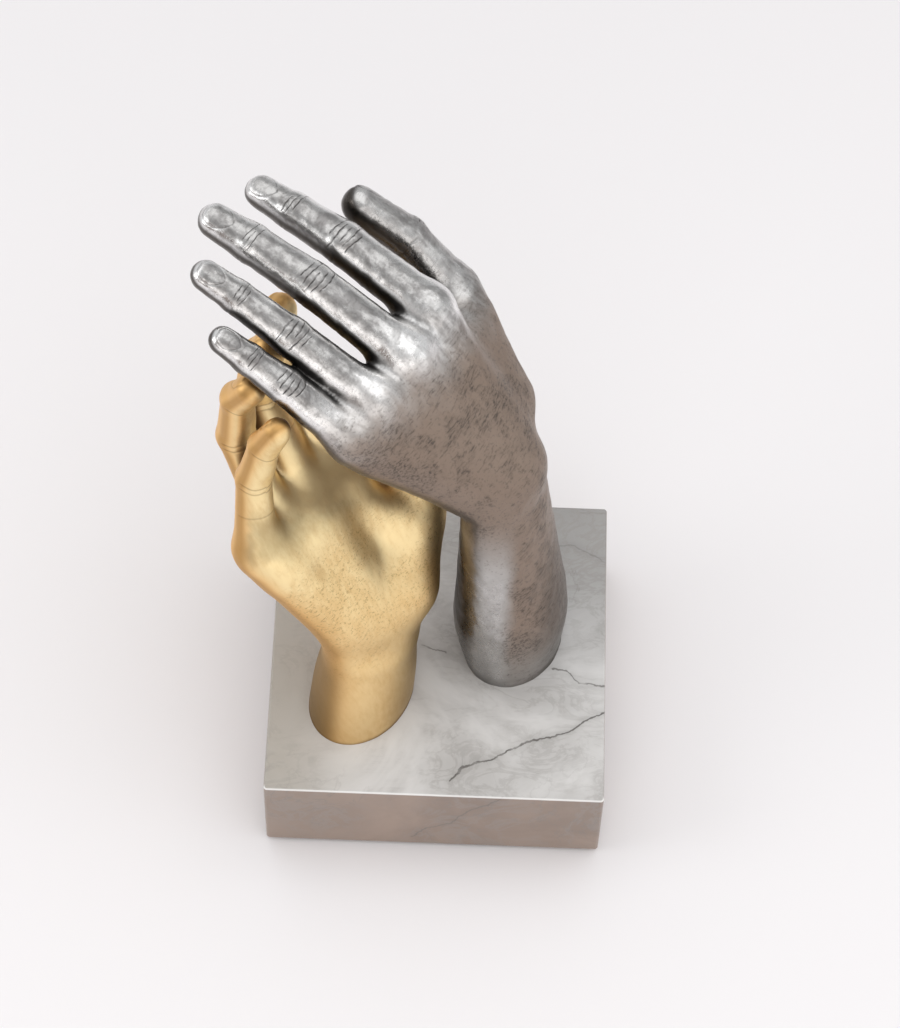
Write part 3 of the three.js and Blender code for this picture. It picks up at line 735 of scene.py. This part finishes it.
# Shader maths
class Wire:
    """A shader value that takes part in arithmetic like a number."""

    def __init__(self, graph, socket):
        self.graph, self.socket = graph, socket

    def maths(self, operation, *others):
        return self.graph.maths(operation, self, *others)

    def __add__(self, other):
        return self.maths("ADD", other)

    def __sub__(self, other):
        return self.maths("SUBTRACT", other)

    def __rsub__(self, other):
        return self.graph.maths("SUBTRACT", other, self)

    def __mul__(self, other):
        return self.maths("MULTIPLY", other)

    __radd__ = __add__
    __rmul__ = __mul__

    def ramp(self, low, high, start=0.0, end=1.0):
        """Goes smoothly from start to end while this value goes from low to high."""
        made = self.graph.node(
            "ShaderNodeMapRange",
            {"Value": self, "From Min": low, "From Max": high, "To Min": start, "To Max": end},
            interpolation_type="SMOOTHSTEP",
        )
        return Wire(self.graph, made.outputs[0])


class Graph:
    """The nodes of a material or a world. One method makes each node with its settings, values and links."""

    def __init__(self, owner):
        self.owner = owner
        owner.use_nodes = True
        self.tree = owner.node_tree
        self.tree.nodes.clear()

    def node(self, kind, inputs=None, **settings):
        made = self.tree.nodes.new(kind)
        for name, value in settings.items():
            setattr(made, name, value)
        for name, value in (inputs or {}).items():
            if isinstance(value, Wire):
                self.tree.links.new(value.socket, made.inputs[name])
            else:
                made.inputs[name].default_value = value
        return made

    def wire(self, kind, output, inputs=None, **settings):
        return Wire(self, self.node(kind, inputs, **settings).outputs[output])

    def maths(self, operation, *values):
        return self.wire("ShaderNodeMath", 0, dict(enumerate(values)), operation=operation)

    def mix(self, share, a, b):
        colours = [(*c, 1) if isinstance(c, tuple) else c for c in (a, b)]
        return self.wire("ShaderNodeMix", 2, {0: share, 6: colours[0], 7: colours[1]}, data_type="RGBA")

    def layers(self, palette, colour, **shares):
        """The named colours of a palette laid over a colour one after another, each by its share."""
        for name, share in shares.items():
            colour = self.mix(share, colour, palette[name])
        return colour

    def noise(self, place, scale, detail=2.0, roughness=0.5, distortion=0.0):
        shape = {"Scale": scale, "Detail": detail, "Roughness": roughness, "Distortion": distortion}
        return self.wire("ShaderNodeTexNoise", 0, {"Vector": place, **shape})

    def attribute(self, name):
        return self.wire("ShaderNodeAttribute", 2, attribute_name=name, attribute_type="GEOMETRY")

    def place(self):
        """Object coordinates, in metres."""
        return self.wire("ShaderNodeTexCoord", 3)

    def along(self, place, direction, origin=(0.0, 0.0, 0.0)):
        """How far a place is from an origin along a direction."""
        moved = self.wire("ShaderNodeVectorMath", 0, {0: place, 1: tuple(origin)}, operation="SUBTRACT")
        return self.wire("ShaderNodeVectorMath", 1, {0: moved, 1: tuple(direction)}, operation="DOT_PRODUCT")

    def vector(self, x, y, z):
        return self.wire("ShaderNodeCombineXYZ", 0, {0: x, 1: y, 2: z})

    def normal(self, height, strength, distance):
        return self.wire("ShaderNodeBump", 0, {"Height": height, "Strength": strength, "Distance": distance})

    def finish(self, **sockets):
        """Joins values to the principled shader's sockets and returns the material."""
        names = {name.replace("_", " ").title(): value for name, value in sockets.items()}
        self.node("ShaderNodeOutputMaterial", {0: self.wire("ShaderNodeBsdfPrincipled", 0, names)})
        return self.owner


def new_finish(name):
    return Graph(bpy.data.materials.new(name))


def hand_places(graph, hand):
    """Places in a hand's frame, in metres: towards the thumb's side, the fingertips and the back."""
    origin = [value * MM for value in hand.wrist]
    origin[2] += base_top
    place = graph.place()
    return [graph.along(place, axis, origin) for axis in (hand.thumbward, hand.distal, hand.back)]


def scratches(g, direction, scale, length):
    """Noise drawn out along a direction, as brush strokes are."""
    ahead = Vector(direction).normalized()
    sideways = ahead.cross(Vector((0.3, -0.5, 0.8))).normalized()
    place = g.place()
    drawn_out = g.along(place, ahead) * (1 / length)
    drawn = g.vector(drawn_out, g.along(place, sideways), g.along(place, ahead.cross(sideways)))
    return g.noise(drawn, scale, 4.0, 0.7, 0.4)


def drawn_lines(g):
    """Thin lines along the bottom of each fold and around each nail."""
    row, fold, outline = g.attribute("row"), g.attribute("fold"), g.attribute("outline")
    worn = g.noise(g.place(), 420.0, 2.0).ramp(0.32, 0.56, 0.35, 1.0)
    folds = row.maths("PINGPONG", 0.5).ramp(0.17, 0.04) * fold.ramp(0.1, 0.6)
    around_nail = (outline - 0.15).maths("ABSOLUTE").ramp(0.42, 0.08)
    return folds.maths("MAXIMUM", around_nail * 0.5) * worn


def x_and_height(g):
    """Places to the right, and above the base's top, in metres."""
    place = g.place()
    return g.along(place, (1.0, 0.0, 0.0)), g.along(place, (0.0, 0.0, 1.0), (0.0, 0.0, base_top))


# The colours of each finish
SILVER = dict(
    burnished=(0.97, 0.96, 0.95),
    # painted shade on the finger crowns and on the thumb's side
    worn_high=(0.48, 0.47, 0.46),
    cloud=(0.28, 0.27, 0.265),
    # painted shade on the sides of the fingers and hand
    side=(0.13, 0.122, 0.118),
    # grey and brown towards the wrist and the arm: a brown toning that is partly painted shade
    grey=(0.33, 0.32, 0.31),
    patina=(0.245, 0.18, 0.138),
    stain=(0.078, 0.062, 0.052),
    scratch=(0.08, 0.063, 0.053),
    speck=(0.1, 0.086, 0.076),
    # a grey laid lightly over the painted sheen strip
    dull=(0.2, 0.19, 0.18),
    # painted shade on the arm's edges and along the finger rims
    shade=(0.055, 0.045, 0.036),
    # the grooves and fold lines, and painted shade in clefts and near the other hand and the base
    dark=(0.03, 0.027, 0.025),
)
GOLD = dict(
    pale=(0.95, 0.77, 0.44),
    mottled=(0.8, 0.59, 0.3),
    # painted shade, a deeper and redder gold, where the skin turns from the palm to its sides
    orange=(0.8, 0.48, 0.18),
    # painted shade, dark brown, on the sides between palm and back
    edge=(0.42, 0.23, 0.075),
    # warmer towards the wrist, and painted shade on the low right of the palm
    warm=(0.68, 0.43, 0.18),
    fleck=(0.36, 0.22, 0.08),
    tarnish=(0.38, 0.33, 0.2),
    # painted shade on the arm's left and right sides
    aged=(0.22, 0.15, 0.075),
    # the grooves and fold lines, and painted shade in clefts and near the silver hand and the base
    dark=(0.18, 0.09, 0.03),
)
MARBLE = dict(
    light=(0.69, 0.675, 0.66),
    cloud=(0.49, 0.475, 0.46),
    # painted shade on the back right of the top
    far=(0.25, 0.24, 0.23),
    # painted shade and reflection of the gold hand on the left of the top
    near_gold=(0.4, 0.37, 0.325),
    # the sides' colours are painted shade: browner and darker than the top, a little darker on the left
    side_light=(0.34, 0.25, 0.197),
    side_cloud=(0.25, 0.184, 0.146),
    side_left=(0.3, 0.225, 0.18),
    wisp=(0.29, 0.27, 0.252),
    fine_vein=(0.2, 0.18, 0.165),
    vein=(0.12, 0.11, 0.1),
    front_vein=(0.15, 0.125, 0.11),
    # painted highlight on the front arris
    edge=(0.93, 0.92, 0.9),
)


def silver_finish():
    """Bright silver on the fingers and knuckles that turns to a brown patina, partly painted shade, down the
    back and the arm. Painted shade falls on the finger crowns, sides and rims, the arm's edges and the
    clefts; the knuckles keep a painted highlight and the arm's left side a painted sheen.
    """
    g = new_finish("antique_silver")
    across, along, up = hand_places(g, silver)
    groove, open_, crown_ = (g.attribute(name) for name in ("groove", "open", "crown"))
    x, height = x_and_height(g)
    streaks = g.noise(g.vector(across, along * 0.22, up), 420.0, 3.0, 0.6)
    broad = g.noise(g.place(), 28.0, 4.0, 0.6)
    middling = g.noise(g.place(), 90.0, 4.0, 0.65, 0.5)
    fine = g.noise(g.place(), 650.0, 2.0, 0.6)
    strokes = scratches(g, (0.5, 0.85, 0.15), 1000.0, 4.0)
    lines = drawn_lines(g)
    low = (height + x * 0.4).ramp(0.125, 0.08)
    towards_arm = (along + across * 0.3 + (broad - 0.5) * 0.05).ramp(0.088, 0.05)
    # A painted sheen: a pale strip down the left side of the arm, low down, where the brown, the grey, the
    # patches and the strokes are held back.
    pale_side = (x + (broad - 0.5) * 0.01).ramp(0.034, 0.025) * low
    # Painted shade on the arm's left and right edges, low down.
    wavy = x + (broad - 0.5) * 0.012
    dark_side = (wavy.ramp(0.038, 0.054) * 0.65).maths("MAXIMUM", wavy.ramp(0.019, 0.011) * 0.8) * low
    # Brown toning that is partly painted shade: the back of the hand and the arm turn grey and brown towards
    # the wrist, and less metallic.
    brown = towards_arm * (1.0 - 0.9 * pale_side) * height.ramp(0.0, 0.05, 0.35, 1.0)
    clouds = (streaks * 0.5 + middling * 0.6).ramp(0.45, 0.65) * crown_.ramp(0.7, 0.93, 0.12, 1.0)
    # Painted highlight: the crown shade and the clouds are lifted on the knuckles.
    knuckles = along.ramp(0.104, 0.09) * along.ramp(0.058, 0.074) * across.ramp(0.026, 0.008, 0.25, 1.0)
    # Painted shade: the crowns of the fingers are darkened, and the thumb's side too, so that their flanks
    # stand out brighter.
    ridge = crown_.ramp(0.74, 0.93) * (1.0 - 0.8 * knuckles)
    # Painted shade: the sides of the fingers and hand, where they turn away from the back of their bone, are
    # darkened.
    sides = crown_.ramp(0.56, 0.26) * crown_.ramp(-0.98, -0.4) * (1.0 - towards_arm) * 0.9
    # Painted shade: a dark rim along the sides of the fingers, weaker low down.
    rims = crown_.ramp(0.4, 0.15) * crown_.ramp(-0.95, -0.5) * (0.75 - 0.5 * low)
    calm = 1.0 - 0.75 * pale_side
    patches = (broad * 0.5 + middling * 0.6).ramp(0.51, 0.62) * (0.2 + 0.8 * towards_arm) * calm
    stroke = strokes.ramp(0.55, 0.65) * calm
    # Painted shade in clefts and where the skin is close to the other hand or the base.
    hidden = open_.ramp(0.78, 0.3) * height.ramp(0.0, 0.03, 0.4, 0.95)
    dark = (groove.ramp(0.3, 0.95) * 0.45).maths("MAXIMUM", hidden)
    dark = dark.maths("MAXIMUM", lines * 0.85)
    colour = g.layers(
        SILVER,
        SILVER["burnished"],
        worn_high=ridge.maths("MAXIMUM", across.ramp(0.03, 0.045) * 0.8),
        cloud=clouds * (1.0 - 0.6 * knuckles),
        side=sides,
        grey=towards_arm * 0.75 * (1.0 - 0.25 * pale_side),
        patina=brown * 0.95,
        stain=patches * (0.12 + 0.6 * strokes.ramp(0.47, 0.59)),
        scratch=stroke * (0.1 + 0.28 * brown),
        speck=fine.ramp(0.58, 0.7) * (0.2 + 0.25 * brown),
        dull=pale_side * 0.22,
        shade=dark_side.maths("MAXIMUM", rims),
        dark=dark,
    )
    rough = 0.25 + 0.12 * clouds + 0.12 * stroke + 0.2 * dark + 0.15 * brown
    lift = streaks * 0.4 + middling * 0.5 + fine * 0.25 - stroke * 0.3 - lines * 0.5
    return g.finish(
        base_color=colour, roughness=rough, metallic=1.0 - 0.45 * brown, normal=g.normal(lift, 0.3, 0.0004))


def gold_finish():
    """Satin gold with fine brown flecks that gather in the low part of the palm, and painted shade on its
    sides, on the arm's sides, on the low right of the palm and in the clefts.
    """
    g = new_finish("satin_gold")
    across, along, up = hand_places(g, gold)
    groove, open_, crown_ = (g.attribute(name) for name in ("groove", "open", "crown"))
    broad = g.noise(g.place(), 30.0, 3.0, 0.6)
    streaks = g.noise(g.vector(across, along * 0.3, up), 480.0, 3.0, 0.6)
    fine = g.noise(g.place(), 800.0, 2.0, 0.6)
    strokes = scratches(g, (0.75, 0.3, 0.6), 1100.0, 3.0)
    lines = drawn_lines(g)
    x, height = x_and_height(g)
    mottle = (broad * 0.7 + streaks * 0.4).ramp(0.42, 0.75)
    # Painted shade: a dark brown band on the sides, between palm and back.
    edges = crown_.ramp(-0.45, -0.1) * crown_.ramp(0.5, 0.1)
    # Painted shade on the low right of the palm, beside the thumb's ball.
    low_right = across.ramp(0.006, 0.028) * along.ramp(0.045, 0.015)
    gathered = along.ramp(-0.02, 0.02) * along.ramp(0.085, 0.04) * broad.ramp(0.35, 0.6)
    flecks = (strokes.ramp(0.55, 0.64) * 0.6).maths("MAXIMUM", fine.ramp(0.58, 0.7) * 0.4)
    tarnish = along.ramp(0.06, 0.08) * along.ramp(0.105, 0.085) * broad.ramp(0.4, 0.6)
    # Painted shade down the left and right sides of the arm, low down.
    from_axis = (x + 0.034 - height * 0.107) * (1.0 / 0.022)
    arm_sides = from_axis.ramp(-0.35, -0.9).maths("MAXIMUM", from_axis.ramp(0.3, 0.95) * 0.75)
    # Painted shade in clefts and where the skin is close to the silver hand or the base, with the grooves and
    # fold lines.
    dark = (groove.ramp(0.2, 0.9) * 0.45).maths("MAXIMUM", open_.ramp(0.6, 0.12) * 0.8)
    dark = dark.maths("MAXIMUM", lines * 0.6)
    colour = g.layers(
        GOLD,
        GOLD["pale"],
        mottled=mottle,
        # Painted shade: a deeper, redder gold where the skin turns from the palm to its sides.
        orange=crown_.ramp(-0.85, -0.1) * 0.85,
        edge=edges * 0.6,
        warm=(along.ramp(0.06, 0.0) * 0.45).maths("MAXIMUM", low_right * 0.8),
        fleck=flecks * gathered,
        tarnish=tarnish * crown_.ramp(0.0, -0.6) * 0.45,
        aged=arm_sides * height.ramp(0.05, 0.03) * 0.75,
        dark=dark,
    )
    rough = 0.46 + 0.08 * mottle + 0.12 * dark
    lift = streaks * 0.4 + fine * 0.4 - lines * 0.6
    return g.finish(base_color=colour, roughness=rough, metallic=1.0, normal=g.normal(lift, 0.2, 0.0002))


# Long veins on the marble's top: bends in millimetres across and away, a width and a strength
LONGEST_VEIN = [
    (7, -68), (12, -61), (22, -57), (29, -54), (38, -48),
    (50, -45), (58, -42), (66, -36), (75, -30), (96, -24),
]
VEINS = [
    (LONGEST_VEIN, 0.45, 1.0),
    ([(51, -9.5), (57, -10), (64, -16), (75, -17.5), (96, -26)], 0.4, 0.8),
    ([(-8, 0), (-3, -2), (3, -3)], 0.35, 0.7),
    ([(-75, 22), (-58, 30), (-40, 27), (-24, 38), (-16, 52), (-8, 75)], 0.4, 0.8),
    ([(20, 75), (30, 60), (45, 52), (60, 55), (75, 46), (96, 40)], 0.35, 0.45),
]
# A vein on the front face, as places across and up
FRONT_VEIN = [(31, 52), (24, 44), (15, 37), (8, 24), (-3, 18), (-9, 9)]


def vein_distance(x, y, line):
    """How far the marble is from a vein, in millimetres."""
    nearest = None
    for (ax, ay), (bx, by) in zip(line, line[1:]):
        length = math.hypot(bx - ax, by - ay)
        ux, uy = (bx - ax) / length, (by - ay) / length
        t = ((x - ax) * ux + (y - ay) * uy).maths("MAXIMUM", 0.0).maths("MINIMUM", length)
        dx, dy = x - ax - t * ux, y - ay - t * uy
        off = (dx * dx + dy * dy).maths("SQRT")
        nearest = off if nearest is None else nearest.maths("MINIMUM", off)
    return nearest


def marble():
    """Grey marble with clouds, wisps and veins. Painted shade makes its sides browner and the back right of
    its top darker, painted shade and reflection of the gold hand darken the left of its top, and a painted
    highlight lines its front arris. Places here are in millimetres.
    """
    g = new_finish("veined_marble")
    place = g.place()
    split = g.node("ShaderNodeSeparateXYZ", {0: place})
    x, y, z = [Wire(g, socket) * 1000.0 for socket in split.outputs]
    wander_x = (g.noise(place, 120.0, 3.0, 0.6) - 0.5) * 5.0
    shifted = g.vector(x * 0.001 + 3.0, y * 0.001, z * 0.001)
    wander_y = (g.noise(shifted, 120.0, 3.0, 0.6) - 0.5) * 5.0
    deep = z - BASE_HEIGHT
    # The bevel at the top's rim carries a painted highlight along the front.
    top, edge = deep.ramp(-0.8, -0.1), deep.ramp(-0.9, -0.7) * deep.ramp(-0.01, -0.2)
    from_front = y + BASE_HALF_WIDTH
    cloud = g.noise(place, 16.0, 5.0, 0.6, 0.6)
    wisps = g.noise(g.vector(x * 0.001, y * 0.0022, z * 0.001), 34.0, 6.0, 0.65, 1.6)
    behind = y.ramp(-10.0, 35.0) * x.ramp(-10.0, 40.0, 0.4, 1.0) * top
    gathered = cloud.ramp(0.42, 0.6).maths("MAXIMUM", behind * 0.8)
    wisp = (wisps - 0.5).maths("ABSOLUTE").ramp(0.07, 0.0) * gathered
    fine_veins = (g.noise(place, 30.0, 6.0, 0.6, 0.6) - 0.52).maths("ABSOLUTE").ramp(0.016, 0.0)
    fine_veins = fine_veins * g.noise(place, 21.0, 2.0).ramp(0.46, 0.58).maths("MAXIMUM", behind * 0.7)
    clouded = cloud.ramp(0.35, 0.65)
    upper = g.layers(
        MARBLE,
        MARBLE["light"],
        cloud=clouded,
        # Painted shade: the top gets darker towards the back right.
        far=y.ramp(-20.0, 50.0) * x.ramp(-20.0, 40.0, 0.3, 0.8),
        # Painted shade and reflection of the gold hand on the left of the top.
        near_gold=x.ramp(-20.0, -75.0) * 0.85,
    )
    # Painted shade: the sides are browner and darker than the top, a little darker on the left.
    sides = g.layers(MARBLE, MARBLE["side_light"], side_cloud=clouded, side_left=x.ramp(0.0, -70.0) * 0.5)
    colour = g.layers(
        MARBLE,
        g.mix(top, sides, upper),
        wisp=wisp * (0.35 + 0.35 * behind),
        fine_vein=fine_veins * (0.45 - 0.32 * top + 0.35 * behind),
    )
    for line, width, strength in VEINS:
        off = vein_distance(x + wander_x - deep * 0.4, y + wander_y + deep * 0.25, line)
        vein = off.ramp(width * 1.6, width * 0.4) * g.noise(place, 160.0, 2.0).ramp(0.2, 0.55, 0.45, 1.0)
        halo = off.ramp(4.5, 0.0) * 0.12
        colour = g.layers(MARBLE, colour, vein=(vein * strength).maths("MAXIMUM", halo))
    off = vein_distance(x + wander_x, z + wander_y, FRONT_VEIN)
    vein = (off.ramp(0.7, 0.15) * 0.7).maths("MAXIMUM", off.ramp(4.0, 0.0) * 0.15)
    colour = g.layers(
        MARBLE,
        colour,
        front_vein=vein * from_front.ramp(1.0, 0.3),
        # Painted highlight along the front arris.
        edge=edge * from_front.ramp(3.0, 1.0) * 0.8,
    )
    grain = g.noise(place, 900.0, 2.0)
    rough = 0.3 + 0.12 * g.noise(place, 60.0, 3.0)
    polish = dict(coat_weight=0.25, coat_roughness=0.12)
    return g.finish(base_color=colour, roughness=rough, normal=g.normal(grain, 0.04, 0.0001), **polish)


def felt():
    g = new_finish("black_felt")
    fibres = g.noise(g.place(), 1400.0, 4.0, 0.7)
    patches = g.noise(g.place(), 90.0, 2.0)
    colour = g.mix(fibres * 0.6 + patches * 0.3, (0.012, 0.012, 0.013), (0.055, 0.054, 0.056))
    return g.finish(base_color=colour, roughness=0.95, normal=g.normal(fibres, 0.6, 0.0004))


def zinc():
    g = new_finish("zinc_steel")
    cloudy = g.noise(g.place(), 260.0, 3.0, 0.6)
    turned = g.noise(g.vector(0.0, 0.0, g.along(g.place(), (0.0, 0.0, 1.0))), 2600.0, 2.0)
    colour = g.mix(cloudy.ramp(0.35, 0.7), (0.62, 0.63, 0.64), (0.46, 0.47, 0.49))
    rough = 0.3 + 0.2 * cloudy
    return g.finish(base_color=colour, roughness=rough, metallic=1.0, normal=g.normal(turned, 0.15, 0.0001))


def paint(thing, material):
    thing.data.materials.clear()
    thing.data.materials.append(material)


# The object
silver_skin = hand_object("silver_hand_skin", silver, silver.field, gold.field)
gold_skin = hand_object("gold_hand_skin", gold, gold_field, silver.field)
paint(silver_skin, silver_finish())
paint(gold_skin, gold_finish())

paint(frame["nodes"]["marble_base"], marble())
paint(frame["nodes"]["base_pad"], felt())
zinc_steel = zinc()
for hand_name in ("silver", "gold"):
    for part in ("stud", "washer", "lock_washer", "nut", "dowel"):
        paint(frame["nodes"][f"{hand_name}_{part}"], zinc_steel)


# Floor, light and camera
def floor():
    work = bmesh.new()
    bmesh.ops.create_grid(work, x_segments=8, y_segments=8, size=6)
    mesh = bpy.data.meshes.new("floor")
    work.to_mesh(mesh)
    work.free()
    made = bpy.data.objects.new("floor", mesh)
    bpy.context.scene.collection.objects.link(made)
    paint(made, new_finish("pale_floor").finish(base_color=(0.87, 0.845, 0.85, 1), roughness=0.85))


def softbox(name, place, aim, width, height, watts):
    light = bpy.data.lights.new(name, "AREA")
    light.shape, light.size, light.size_y = "RECTANGLE", width, height
    light.energy = watts
    made = bpy.data.objects.new(name, light)
    made.location = place
    made.rotation_mode = "QUATERNION"
    made.rotation_quaternion = (Vector(aim) - Vector(place)).to_track_quat("-Z", "Y")
    bpy.context.scene.collection.objects.link(made)


def world():
    """A soft studio: pale above and behind, dim and warm below and to the front."""
    made = bpy.data.worlds.new("studio")
    bpy.context.scene.world = made
    g = Graph(made)
    bright_side = g.along(g.wire("ShaderNodeTexCoord", 0), unit((0.0, 0.85, 0.5)))
    colour = g.mix(bright_side.ramp(-0.7, 0.1), (0.16, 0.12, 0.1), (0.66, 0.67, 0.68))
    pale = g.wire("ShaderNodeBackground", 0, {"Color": colour, "Strength": 1.0})
    g.node("ShaderNodeOutputWorld", {0: pale})


def camera():
    """The photograph's view. Its long side is the image's height, so the lens is set from that."""
    focal_pixels, image_height = 3348, 1028
    place = (0.003374, -0.7177, 1.38223)
    right = Vector((0.99931, 0.03229, 0.01848))
    towards = Vector((0.000533, -0.50904, 0.86074)).normalized()
    data = bpy.data.cameras.new("camera")
    data.sensor_fit = "AUTO"
    data.lens = focal_pixels / image_height * data.sensor_width
    data.clip_start, data.clip_end = 0.05, 50
    made = bpy.data.objects.new("camera", data)
    up = towards.cross(right).normalized()
    right = up.cross(towards)
    axes = Matrix((right, up, towards)).transposed()
    made.matrix_world = Matrix.Translation(place) @ axes.to_4x4()
    bpy.context.scene.collection.objects.link(made)
    bpy.context.scene.camera = made


floor()
world()
softbox("top_softbox", place=(0.1, 0.25, 1.4), aim=(0, 0.02, 0.12), width=2.2, height=1.4, watts=8.5)
softbox("left_softbox", place=(-1.1, -0.2, 0.7), aim=(0, 0, 0.12), width=0.6, height=0.8, watts=2.6)
softbox("right_softbox", place=(1.2, -0.45, 0.35), aim=(0, 0, 0.15), width=1.5, height=1.3, watts=3.6)
softbox("front_softbox", place=(0.15, -1.2, 0.65), aim=(0, 0, 0.15), width=1.5, height=1.15, watts=5.8)
camera()
bpy.context.scene.view_settings.view_transform = "Standard"
